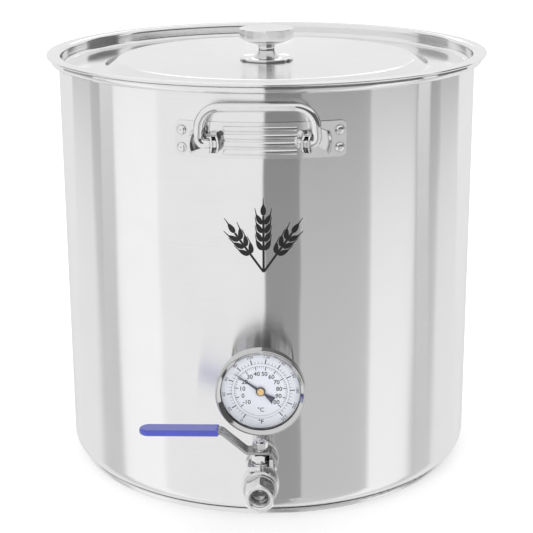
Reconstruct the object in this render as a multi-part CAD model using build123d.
from build123d import *
import os
from math import cos, degrees, radians, sin, sqrt, tan

# A 70 litre stainless brew kettle: pot, lid, two bail handles, dial thermometer and ball valve.
# Millimetres, +Z up. The origin is the centre of the base's underside, and the thermometer, the
# valve and one handle face -Y. "Reach" is a distance out from the pot's axis towards the front.

os.makedirs("parts", exist_ok=True)

# Pot
wall_radius = 225.0
wall = 1.2
corner_radius = 16.0
rim_height = 450.7
bead_radius = 5.0
disc_radius = 216.0
disc_thickness = 5.5
disc_edge = 1.5

# Lid, heights to its upper surface
lid_sheet = 0.8
lid_top = rim_height + lid_sheet
lid_recess_radius = 223.3
lid_floor_height = 436.0
lid_step_outer = 175.0
lid_step_inner = 162.0
lid_plateau_height = 443.5
lid_centre_height = 439.5
lid_flat_radius = 32.0
lid_radius = 238.0
lid_hem_radius = 1.4

# Knob
knob_radius = 29.5
knob_neck_radius = 9.2
knob_groove = 1.0
knob_joint_height = lid_centre_height + 11.0
knob_top = lid_centre_height + 34.4
knob_stud_depth = 14.0
stud_radius = 3.0

# Bail handles
handle_height = 395.5
plate_length = 168.0
plate_height = 35.0
plate_sheet = 1.5
plate_corner = 5.0
rib_length = 70.0
rib_pitch = 7.5
rib_count = 4
rib_radius = 3.4
rib_standout = 1.2
rivet_arc = 77.3
rivet_spacing = 17.0
rivet_head_radius = 4.75
rivet_shank_radius = 2.4
rod_radius = 4.75
hinge_reach = 231.0
hinge_height = 393.8
bail_span = 114.0
bail_top_width = 109.0
bail_rise = 35.0
bail_lean = 0.7
bail_shift = -2.5
bail_foot_bend = 6.5
bail_top_bend = 20.0
rod_end = 38.0
rod_end_chamfer = 0.8
eye_clearance = 0.1
lug_sheet = 1.6
lug_half_height = 9.5
lug_reach = 238.4
lug_cheek = 64.4
lug_web = 47.8
lug_inner = 43.0

# Half-inch fittings, threads drawn as plain cylinders
thread_radius = 10.4
bore_radius = 7.5
flange_radius = 16.5
seal_thickness = 3.5
washer_thickness = 1.5
lock_nut_flats = 27.0
lock_nut_height = 8.0

# Ball valve
valve_height = 68.0
stem_reach = 287.0
valve_back = 257.0
valve_front = 322.0
hex_flats = 26.8
ball_radius = 12.0
port_radius = 7.0
outlet_radius = 9.3
outlet_depth = 14.0
outlet_chamfer = 1.4
cavity_radius = 13.6
body_seal_radius = 14.75
body_radius = 18.5
stem_radius = 4.8
stem_foot_radius = 6.4
stem_foot = 81.0
thread_stub_radius = 4.0
stem_flats_width = 6.4
stem_top = 114.5
tongue_width = 5.0
tongue_foot = 76.0
pad_top = 90.0
packing_radius = 7.5
packing_foot = 86.0
packing_top = 91.0
gland_top = 100.8
stop_top = 97.5
running_gap = 0.05
hub_height = 102.0
lever_sheet = 2.6
lever_washer_thickness = 1.6
lever_nut_flats = 13.0
lever_width = 16.0
lever_level = 124.0
tab_reach = 10.3
tab_foot = 92.2
grip_length = 77.0
grip_start = 40.0
grip_width = 19.5
grip_thickness = 6.2

# Dial thermometer
dial_height = 155.6
case_back = 257.0
case_sheet = 1.2
case_radius = 42.0
bezel_radius = 44.2
bezel_back = 260.0
bezel_front = 271.8
window_radius = 39.2
lens_radius = 39.8
face_reach = 263.2
dial_sheet = 0.6
glass_back = 266.9
glass_front = 268.4
neck_radius = 9.0
probe_radius = 4.0
probe_wall = 0.7
probe_length = 65.0
coil_height = 30.0
pointer_angle = -54.2
pointer_tip = 32.5
pointer_tail = 15.2
needle_back = 264.6
needle_front = 265.1
hub_front = 266.4
shaft_radius = 0.9
shaft_tip = 265.8


def save(name, *solids):
    """Write one node as a STEP file."""
    piece = solids[0] if len(solids) == 1 else Compound(list(solids))
    export_step(piece, f"parts/{name}.step")


def turned(*corners):
    """A solid of revolution about Z, from its (radius, height) corners."""
    return revolve(Plane.XZ * make_face(Polyline(*corners, close=True)), Axis.Z)


def turned_edges(*edges):
    """A solid of revolution about Z, from a closed run of lines and arcs."""
    return revolve(Plane.XZ * make_face(Curve() + list(edges)), Axis.Z)


def rod(radius, low, high):
    """A cylinder on the Z axis between two heights."""
    return Pos(0, 0, (low + high) / 2) * Cylinder(radius, high - low)


def ring(inner, outer, low, high):
    """A flat ring on the Z axis between two heights."""
    return rod(outer, low, high) - rod(inner, low - 1, high + 1)


def hexagon(flats, low, high, turn=0.0):
    """A hexagon bar on the Z axis with its corners chamfered at both ends."""
    corner = flats / 2 / cos(radians(30))
    face = 0.97 * flats / 2
    bevel = (corner - face) * tan(radians(30))
    bar = Pos(0, 0, low) * extrude(RegularPolygon(flats / 2, 6, major_radius=False), high - low)
    bottom = [(0, low), (face, low), (corner, low + bevel)]
    top = [(corner, high - bevel), (face, high), (0, high)]
    return Rot(0, 0, turn) * bar & turned(*bottom, *top)


def facing_front(height):
    """A plane whose own Z axis runs out of the front of the pot at a given height."""
    return Plane(origin=(0, 0, height), x_dir=(1, 0, 0), z_dir=(0, -1, 0))


def on_front(height, solid):
    """Place a piece that was drawn with its Z axis as reach."""
    return facing_front(height).location * solid


def pot_cylinder(radius):
    """A cylinder of the whole pot's height."""
    return rod(radius, -10, rim_height + 20)


def at_back(solid):
    return Rot(0, 0, 180) * solid


def cylinder_across(radius, x_low, x_high, reach, height):
    """A cylinder along X at a reach and height."""
    return Pos((x_low + x_high) / 2, -reach, height) * Rot(0, 90, 0) * Cylinder(radius, x_high - x_low)


# ---- pot ----

def rivet_places():
    """Azimuth and height of each rivet of the front handle, with 0 at the front."""
    swing = degrees(rivet_arc / (wall_radius + plate_sheet))
    heights = [handle_height + lift * rivet_spacing / 2 for lift in (-1, 1)]
    return [(side * swing, height) for side in (-1, 1) for height in heights]


def radial(azimuth, height, solid):
    """Place a piece drawn with its Z axis as reach at an azimuth round the pot."""
    return Rot(0, 0, azimuth) * on_front(height, solid)


def kettle_shell():
    mid = wall_radius - wall / 2
    bead_mid = bead_radius - wall / 2
    bead_height = rim_height - bead_radius
    floor = disc_thickness + wall / 2
    path = FilletPolyline((0, floor), (mid, floor), (mid, bead_height), radius=corner_radius - wall / 2)
    path += CenterArc((mid + bead_mid, bead_height), bead_mid, 180, -270)
    shell = revolve(Plane.XZ * trace(path, wall), Axis.Z)
    for height in (valve_height, dial_height):
        shell -= on_front(height, rod(thread_radius, 200, 240))
    for azimuth, height in rivet_places():
        hole = radial(azimuth, height, rod(rivet_shank_radius, 215, 235))
        shell -= hole
        shell -= at_back(hole)
    return shell


def base_disc():
    disc = rod(disc_radius, 0, disc_thickness)
    return fillet(disc.edges().filter_by(GeomType.CIRCLE), disc_edge)


# ---- lid ----

def lid_pan():
    half = lid_sheet / 2
    wall_line = lid_recess_radius - half
    hem = lid_hem_radius - half
    hem_line = lid_radius - lid_hem_radius
    path = FilletPolyline(
        (stud_radius + 0.2, lid_centre_height - half),
        (lid_flat_radius, lid_centre_height - half),
        (lid_step_inner, lid_plateau_height - half),
        (lid_step_outer, lid_floor_height - half),
        (wall_line, lid_floor_height - half),
        (wall_line, lid_top - half),
        (hem_line, lid_top - half),
        radius=(60, 8, 8, 5, 4),
    )
    path += CenterArc((hem_line, lid_top - lid_hem_radius), hem, 90, -180)
    return revolve(Plane.XZ * trace(path, lid_sheet), Axis.Z)


def knob_base():
    """The spreading foot of the knob, narrowest at the joint under the cap."""
    foot = lid_centre_height
    hole = stud_radius + 0.1
    joint = knob_joint_height
    neck = knob_neck_radius
    return turned_edges(
        Line((hole, foot), (28.2, foot)),
        ThreePointArc((28.2, foot), (28.8, foot + 0.3), (29.0, foot + 0.9)),
        Line((29.0, foot + 0.9), (29.0, foot + 2.0)),
        ThreePointArc((29.0, foot + 2.0), (28.6, foot + 2.6), (27.6, foot + 2.9)),
        ThreePointArc((27.6, foot + 2.9), (14.2, foot + 4.6), (neck, joint - 0.6)),
        Line((neck, joint - 0.6), (neck - knob_groove, joint)),
        Line((neck - knob_groove, joint), (hole, joint)),
        Line((hole, joint), (hole, foot)),
    )


def knob_cap():
    """The bowl-shaped cap, with its own short neck and a blind hole for the stud."""
    joint = knob_joint_height
    top = knob_top
    neck = knob_neck_radius
    hole_end = joint + knob_stud_depth
    return turned_edges(
        Line((stud_radius, joint), (neck - knob_groove, joint)),
        Line((neck - knob_groove, joint), (neck, joint + 0.6)),
        ThreePointArc((neck, joint + 0.6), (10.0, joint + 3.6), (12.2, joint + 6.2)),
        ThreePointArc((12.2, joint + 6.2), (14.6, joint + 7.1), (17.5, joint + 7.4)),
        ThreePointArc((17.5, joint + 7.4), (26.0, joint + 9.8), (knob_radius, joint + 13.6)),
        Line((knob_radius, joint + 13.6), (knob_radius, top - 1.0)),
        ThreePointArc((knob_radius, top - 1.0), (knob_radius - 0.3, top - 0.3), (knob_radius - 1.0, top)),
        TangentArc((0, top - 1.6), (knob_radius - 1.0, top), tangent=(1, 0)),
        Line((0, top - 1.6), (0, hole_end)),
        Line((0, hole_end), (stud_radius, hole_end)),
        Line((stud_radius, hole_end), (stud_radius, joint)),
    )


def knob_fasteners():
    """The stud, the washer and the nut that hold the knob from under the lid."""
    under = lid_centre_height - lid_sheet
    stud = rod(stud_radius, under - 9.0, knob_joint_height + knob_stud_depth)
    washer = ring(stud_radius + 0.1, 9.0, under - 1.2, under)
    nut = hexagon(10.0, under - 6.2, under - 1.2) - rod(stud_radius, 0, 500)
    return stud, washer, nut


# ---- bail handles ----

def arc_wall(x_ends, bulge):
    """An upright wall, curved when seen from the front, as a sketch of x and height."""
    high = lug_half_height + 1
    line = ThreePointArc((x_ends, -high), (x_ends + bulge, 0), (x_ends, high))
    return trace(line, lug_sheet)


def lug_sketch(side):
    """The walls of one pressed lug, seen from the front; side is 1 on the right."""
    walls = arc_wall(side * lug_cheek, side * 2.5)
    walls += arc_wall(side * lug_web, side * -2.0)
    walls += arc_wall(side * lug_inner, side * -3.3)
    bridge = Rectangle(lug_web - lug_inner + 1.4, lug_sheet)
    for lift in (-1, 1):
        height = lift * (lug_half_height - lug_sheet / 2)
        walls += Pos(side * (lug_web + lug_inner) / 2, height) * bridge
    return walls


def lug(side):
    """One pressed lug with the eye that the bail's end turns in."""
    block = on_front(hinge_height, Pos(0, 0, 200) * extrude(lug_sketch(side), 60))
    depth = lug_reach - 190
    profile = RectangleRounded(depth, 2 * lug_half_height, 7)
    middle = side * (lug_cheek + lug_inner) / 2
    envelope = Pos(middle, -(lug_reach - depth / 2), hinge_height) * Rot(0, 90, 0) * Rot(0, 0, 90)
    block &= envelope * extrude(profile, 20, both=True)
    eye_middle = side * (lug_web + lug_inner) / 2
    eye = (rod_radius + eye_clearance, eye_middle - 7, eye_middle + 7)
    return block - cylinder_across(*eye, hinge_reach, hinge_height)


def handle_plate():
    outer = wall_radius + plate_sheet
    half_width = outer * sin(plate_length / 2 / outer)
    outline = RectangleRounded(2 * half_width, plate_height, plate_corner)
    blank = Pos(0, 0, 190) * extrude(outline, 60)
    plate = on_front(handle_height, blank) & pot_cylinder(outer)
    for side in (-1, 1):
        plate += lug(side)
    ribs = []
    for index in range(rib_count):
        height = handle_height + (index - (rib_count - 1) / 2) * rib_pitch
        swing = degrees(rib_length / outer)
        centre = outer + rib_standout - rib_radius
        section = Plane.XZ * Pos(centre, height) * Circle(rib_radius)
        rib = Rot(0, 0, -90 - swing / 2) * revolve(section, Axis.Z, swing)
        ribs.append(rib)
    plate += ribs
    plate -= pot_cylinder(wall_radius)
    for azimuth, height in rivet_places():
        plate -= radial(azimuth, height, rod(rivet_shank_radius, 215, 235))
    return plate


def rivet(azimuth, height):
    """One domed rivet through the plate and the wall, with a flat head inside."""
    seat = wall_radius + plate_sheet
    head = turned_edges(
        Line((0, seat - 1.0), (rivet_head_radius, seat - 1.0)),
        Line((rivet_head_radius, seat - 1.0), (rivet_head_radius, seat + 0.3)),
        ThreePointArc((rivet_head_radius, seat + 0.3), (3.3, seat + 1.9), (0.9, seat + 2.5)),
        Line((0.9, seat + 2.5), (0, seat + 1.9)),
        Line((0, seat + 1.9), (0, seat - 1.0)),
    )
    tail = rod(4.2, wall_radius - wall - 1.1, wall_radius)
    head = radial(azimuth, height, head) - pot_cylinder(seat)
    tail = radial(azimuth, height, tail) & pot_cylinder(wall_radius - wall)
    shank = radial(azimuth, height, rod(rivet_shank_radius, wall_radius - wall - 0.5, seat + 0.6))
    return head + tail + shank


def handle_rivets():
    return [rivet(azimuth, height) for azimuth, height in rivet_places()]


def handle_bail():
    """The bent rod, standing up from the hinge with its two ends turned in."""
    foot = bail_span / 2
    top = bail_top_width / 2
    left = [(-rod_end, 0), (-foot, 0), (-top, bail_rise)]
    right = [(-x, height) for x, height in reversed(left)]
    bends = (bail_foot_bend, bail_top_bend)
    path = FilletPolyline(*left, *right, radius=(*bends, *reversed(bends)))
    upright = Plane(origin=(bail_shift, -hinge_reach, hinge_height), x_dir=(1, 0, 0),
                    z_dir=(0, -bail_rise, -bail_lean))
    path = upright.location * path
    section = Plane(origin=path @ 0, z_dir=path % 0) * Circle(rod_radius)
    bail = sweep(section, path=path)
    ends = bail.edges().filter_by(GeomType.CIRCLE)
    tips = [edge for edge in ends if abs(abs(edge.center().X - bail_shift) - rod_end) < 0.01]
    return chamfer(tips, rod_end_chamfer)


# ---- parts shared by the two bulkheads ----

def wall_seal():
    """A soft ring whose back follows the pot's wall, placed by its reach."""
    return ring(thread_radius, flange_radius, wall_radius - 5, wall_radius + seal_thickness)


def fitted_seal(height):
    return on_front(height, wall_seal()) - pot_cylinder(wall_radius)


def inner_washer_reach():
    """The reach of the flat washer's face where its edges touch the curved wall."""
    return sqrt((wall_radius - wall) ** 2 - flange_radius ** 2) - 0.03


def inner_washer(height):
    face = inner_washer_reach()
    return on_front(height, ring(thread_radius, flange_radius, face - washer_thickness, face))


def lock_nut(height):
    high = inner_washer_reach() - washer_thickness
    nut = hexagon(lock_nut_flats, high - lock_nut_height, high) - rod(thread_radius, 0, 300)
    return on_front(height, nut)


# ---- ball valve ----

def bulkhead_nipple():
    seat = wall_radius + seal_thickness
    end = valve_back + 11.5
    barrel = rod(thread_radius, inner_washer_reach() - 16, end)
    flange = rod(flange_radius, seat, seat + 3)
    grip = hexagon(lock_nut_flats, seat + 3, valve_back - 3)
    return on_front(valve_height, barrel + flange + grip - rod(bore_radius, 150, 300))


def valve_body():
    back = valve_back
    seat = stem_reach - 11.4
    mouth = stem_reach + 14.0
    neck = 13.2
    shoulder = body_radius - 1.8
    barrel = turned_edges(
        Line((0, back + 8), (neck, back + 8)),
        Line((neck, back + 8), (neck, back + 11)),
        Line((neck, back + 11), (shoulder, stem_reach - 13)),
        ThreePointArc((shoulder, stem_reach - 13), (body_radius, stem_reach), (shoulder, mouth)),
        Line((shoulder, mouth), (0, mouth)),
        Line((0, mouth), (0, back + 8)),
    )
    body = on_front(valve_height, barrel + hexagon(hex_flats, back, back + 9, 30))
    body += on_stem(rod(10.0, valve_height + 8, pad_top))
    body += on_stem(rod(9.2, pad_top - 2, pad_top + 2))
    body += Pos(0.5, -stem_reach, pad_top - 2.5) * Box(25.0, 19.0, 5.0)
    body += stop_post(9.0, 12.6, -9.4, -5.05)
    body += stop_post(-9.4, -5.05, 6.2, 11.6)
    hollow = rod(thread_radius, back - 1, back + 12.5)
    hollow += rod(bore_radius, back, seat + 1)
    hollow += rod(cavity_radius, seat, mouth + 1)
    body -= on_front(valve_height, hollow)
    body -= on_stem(rod(stem_foot_radius + 0.2, valve_height + 9, stem_foot + 2.2))
    body -= on_stem(rod(stem_radius + running_gap, stem_foot, pad_top + 5))
    body -= on_stem(rod(packing_radius, packing_foot, pad_top + 5))
    return body


def on_stem(solid):
    """Place a piece drawn about Z on the valve's stem axis."""
    return Pos(0, -stem_reach, 0) * solid


def stop_post(x_low, x_high, y_low, y_high):
    """A cast post on the valve's pad that the lever's tab stops against."""
    foot = pad_top - 4.5
    size = (x_high - x_low, y_high - y_low, stop_top - foot)
    return on_stem(Pos((x_low + x_high) / 2, (y_low + y_high) / 2, (foot + stop_top) / 2) * Box(*size))


def valve_end_cap():
    seat = stem_reach + 11.4
    collar = stem_reach + 15.0
    grip = hexagon(hex_flats, collar + 1, valve_front, 30)
    cap = rod(cavity_radius, seat, collar) + rod(body_seal_radius, collar, collar + 1) + grip
    cap -= rod(port_radius + 0.3, seat - 1, valve_front)
    cap -= rod(outlet_radius, valve_front - outlet_depth, valve_front + 1)
    chamfer_start = valve_front - outlet_chamfer
    lip = outlet_radius + 1.2
    front = valve_front + 0.1
    cap -= turned((0, chamfer_start), (outlet_radius, chamfer_start), (lip, front), (0, front))
    return on_front(valve_height, cap)


def valve_seat(direction):
    """A seat ring behind or in front of the ball; direction is -1 or 1."""
    low, high = sorted((stem_reach + direction * 7.4, stem_reach + direction * 11.4))
    seat = ring(port_radius + 0.3, cavity_radius, low, high)
    seat -= Pos(0, 0, stem_reach) * Sphere(ball_radius + running_gap)
    return on_front(valve_height, seat)


def valve_body_seal():
    return on_front(valve_height, ring(cavity_radius, body_seal_radius, stem_reach + 14, stem_reach + 15))


def valve_ball():
    ball = Pos(0, -stem_reach, valve_height) * Sphere(ball_radius)
    ball -= Pos(0, -stem_reach, valve_height) * Rot(0, 90, 0) * Cylinder(port_radius, 40)
    return ball - Pos(0, -stem_reach, valve_height + 12) * Box(tongue_width, 40, 8.0)


def stem_flats(low, high):
    """The stretch of the stem with two flats, which the lever's hole fits."""
    return rod(thread_stub_radius, low, high) & Box(stem_flats_width, 20, 400)


def valve_stem():
    stem = rod(stem_radius, stem_foot + 1, hub_height)
    stem += rod(stem_foot_radius, stem_foot, stem_foot + 2.1)
    stem += stem_flats(hub_height, hub_height + lever_sheet)
    stem += rod(thread_stub_radius, hub_height + lever_sheet, stem_top)
    tongue = stem_foot + 0.4 - tongue_foot
    stem += Pos(0, 0, tongue_foot + tongue / 2) * Box(tongue_width, 12.0, tongue)
    return on_stem(stem)


def stem_packing():
    return on_stem(ring(stem_radius + running_gap, packing_radius, packing_foot, packing_top))


def stem_gland_nut():
    nut = rod(packing_radius, packing_top, packing_top + 2)
    nut += hexagon(15.0, packing_top + 1, gland_top)
    return on_stem(nut - rod(stem_radius + running_gap, packing_foot, hub_height))


def lever_line():
    """The strap's middle line from its stop tab over the hub to the tip, as x and height."""
    mid = hub_height + lever_sheet / 2
    tab = [(tab_reach, tab_foot), (tab_reach, mid)]
    slope = [(-13.0, mid), (-37.0, lever_level)]
    return FilletPolyline(*tab, *slope, (-112.0, lever_level), radius=(2.4, 7, 7))


def lever_arm():
    strap = extrude(Plane.XZ * trace(lever_line(), lever_sheet), lever_width / 2, both=True)
    plan = Pos(-49, 0) * RectangleRounded(126, lever_width, 6)
    strap &= extrude(plan, 140)
    for side in (-1, 1):
        strap -= Pos(tab_reach, side * lever_width / 2, tab_foot + 3) * Box(6, 6, 10.5)
    return on_stem(strap - stem_flats(90, 120))


def lever_grip():
    tip = Pos(-grip_start - grip_length + grip_width / 2, 0) * Circle(grip_width / 2)
    block = Pos(-grip_start - grip_length / 2 + grip_width / 4, 0)
    plan = tip + block * Rectangle(grip_length - grip_width / 2, grip_width)
    sleeve = extrude(plan, grip_thickness / 2, both=True)
    rims = sleeve.edges().group_by(Axis.Z)
    sleeve = fillet(rims[0] + rims[-1], 2.4)
    sleeve = Pos(0, -stem_reach, lever_level) * sleeve
    return sleeve - lever_arm()


def lever_washer():
    low = hub_height + lever_sheet
    return on_stem(ring(thread_stub_radius, 7.2, low, low + lever_washer_thickness))


def lever_nut():
    low = hub_height + lever_sheet + lever_washer_thickness
    return on_stem(hexagon(lever_nut_flats, low, low + 6.5, 12) - rod(thread_stub_radius, 0, 200))


# ---- dial thermometer ----

def thermometer_bushing():
    seat = wall_radius + seal_thickness
    barrel = rod(thread_radius, inner_washer_reach() - 14, seat + 1)
    flange = rod(flange_radius, seat, seat + 2.5)
    grip = hexagon(24.0, seat + 2.5, seat + 14)
    neck = rod(neck_radius, seat + 14, case_back + case_sheet)
    return on_front(dial_height, barrel + flange + grip + neck - rod(probe_radius, 150, 300))


def thermometer_stem():
    outside = wall_radius - wall
    tip = outside - probe_length
    top = case_back + case_sheet
    floor = tip + probe_radius
    tube = rod(probe_radius, floor, top) + Pos(0, 0, floor) * Sphere(probe_radius)
    return on_front(dial_height, tube - rod(probe_radius - probe_wall, floor, top + 1))


def thermometer_case():
    """A pressed can; its wall is thick at the front, where the dial sits on a ledge."""
    back = case_back
    seat = face_reach - dial_sheet
    ledge = lens_radius - 2.4
    outside = [(neck_radius, back), (36.5, back), (40.3, back + 1.4), (case_radius, back + 4.4)]
    outside.append((case_radius, glass_front))
    inside = [(lens_radius, glass_front), (lens_radius, seat), (ledge, seat)]
    inside += [(ledge, back + 3.4), (ledge - 2.4, back + case_sheet), (neck_radius, back + case_sheet)]
    return on_front(dial_height, turned(*outside, *inside))


def thermometer_bezel():
    """The rolled ring that holds the glass; it slopes in from its rounded front to the window."""
    front = bezel_front
    outer = bezel_radius
    crest = outer - 1.3
    slope_top = outer - 2.2
    bezel = turned_edges(
        Line((case_radius, glass_front), (window_radius, glass_front)),
        Line((window_radius, glass_front), (window_radius, glass_front + 0.4)),
        Line((window_radius, glass_front + 0.4), (slope_top, front - 0.5)),
        ThreePointArc((slope_top, front - 0.5), (crest, front), (outer, front - 1.3)),
        Line((outer, front - 1.3), (outer, bezel_back + 1.0)),
        ThreePointArc((outer, bezel_back + 1.0), (outer - 0.3, bezel_back + 0.3), (outer - 1.0, bezel_back)),
        Line((outer - 1.0, bezel_back), (case_radius, bezel_back + 1.0)),
        Line((case_radius, bezel_back + 1.0), (case_radius, glass_front)),
    )
    return on_front(dial_height, bezel)


def thermometer_dial():
    return on_front(dial_height, ring(1.5, lens_radius - 0.2, face_reach - dial_sheet, face_reach))


def lens_gasket():
    return on_front(dial_height, ring(lens_radius - 1.2, lens_radius, face_reach, glass_back))


def thermometer_lens():
    return on_front(dial_height, rod(lens_radius, glass_back, glass_front))


def shaft_bush():
    return on_front(dial_height, ring(shaft_radius + running_gap, probe_radius - probe_wall, 246, 252))


def bimetal_coil():
    """The strip that winds with heat, standing on the closed end of the probe."""
    foot = wall_radius - wall - probe_length + probe_radius
    coil = Helix(pitch=3.0, height=coil_height, radius=2.4)
    section = Plane(origin=coil @ 0, z_dir=coil % 0) * Circle(0.4)
    wire = sweep(section, path=coil, is_frenet=True)
    return on_front(dial_height, Pos(0, 0, foot + 0.6) * wire)


def pointer_needle():
    root = 1.5
    tail = 3.6
    blade = Polyline((-root, 0), (0, pointer_tip), (root, 0), (0.9, -5.5), (tail, -pointer_tail),
                     (-tail, -pointer_tail), (-0.9, -5.5), close=True)
    needle = extrude(make_face(blade) + Circle(4.7), needle_front - needle_back)
    return on_dial(Pos(0, 0, needle_back) * needle - rod(shaft_radius, needle_back - 1, hub_front))


def on_dial(solid):
    """Turn a piece to the pointer's angle, clockwise from the top as seen from the front."""
    return on_front(dial_height, Rot(0, 0, -pointer_angle) * solid)


def pointer_hub():
    radius = 3.7
    edge = hub_front - 0.5
    rim = [(radius, needle_front), (radius, edge), (radius - 0.5, hub_front)]
    cap = turned((0, needle_front), *rim, (0, hub_front))
    return on_dial(cap - rod(shaft_radius, needle_back, shaft_tip))


def pointer_shaft():
    foot = wall_radius - wall - probe_length + probe_radius
    return on_dial(rod(shaft_radius, foot + coil_height + 4, shaft_tip))


# ---- write every node ----

save("kettle_shell", kettle_shell())
save("base_disc", base_disc())

stud, washer, nut = knob_fasteners()
save("lid_pan", lid_pan())
save("knob_base", knob_base())
save("knob_cap", knob_cap())
save("knob_stud", stud)
save("knob_washer", washer)
save("knob_nut", nut)

plate = handle_plate()
rivets = handle_rivets()
bail = handle_bail()
save("front_handle_plate", plate)
save("front_handle_rivets", *rivets)
save("front_handle_bail", bail)
save("back_handle_plate", at_back(plate))
save("back_handle_rivets", *[at_back(piece) for piece in rivets])
save("back_handle_bail", at_back(bail))

for name, height in (("bulkhead", valve_height), ("thermometer", dial_height)):
    save(f"{name}_seal", fitted_seal(height))
    save(f"{name}_inner_washer", inner_washer(height))
    save(f"{name}_lock_nut", lock_nut(height))

save("bulkhead_nipple", bulkhead_nipple())
save("valve_body", valve_body())
save("valve_end_cap", valve_end_cap())
save("valve_body_seal", valve_body_seal())
save("valve_seat_rear", valve_seat(-1))
save("valve_seat_front", valve_seat(1))
save("stem_packing", stem_packing())
save("stem_gland_nut", stem_gland_nut())
save("valve_ball", valve_ball())
save("valve_stem", valve_stem())
save("lever_arm", lever_arm())
save("lever_grip", lever_grip())
save("lever_washer", lever_washer())
save("lever_nut", lever_nut())

save("thermometer_bushing", thermometer_bushing())
save("thermometer_stem", thermometer_stem())
save("thermometer_case", thermometer_case())
save("thermometer_bezel", thermometer_bezel())
save("thermometer_dial", thermometer_dial())
save("thermometer_lens", thermometer_lens())
save("lens_gasket", lens_gasket())
save("shaft_bush", shaft_bush())
save("bimetal_coil", bimetal_coil())
save("pointer_needle", pointer_needle())
save("pointer_hub", pointer_hub())
save("pointer_shaft", pointer_shaft())
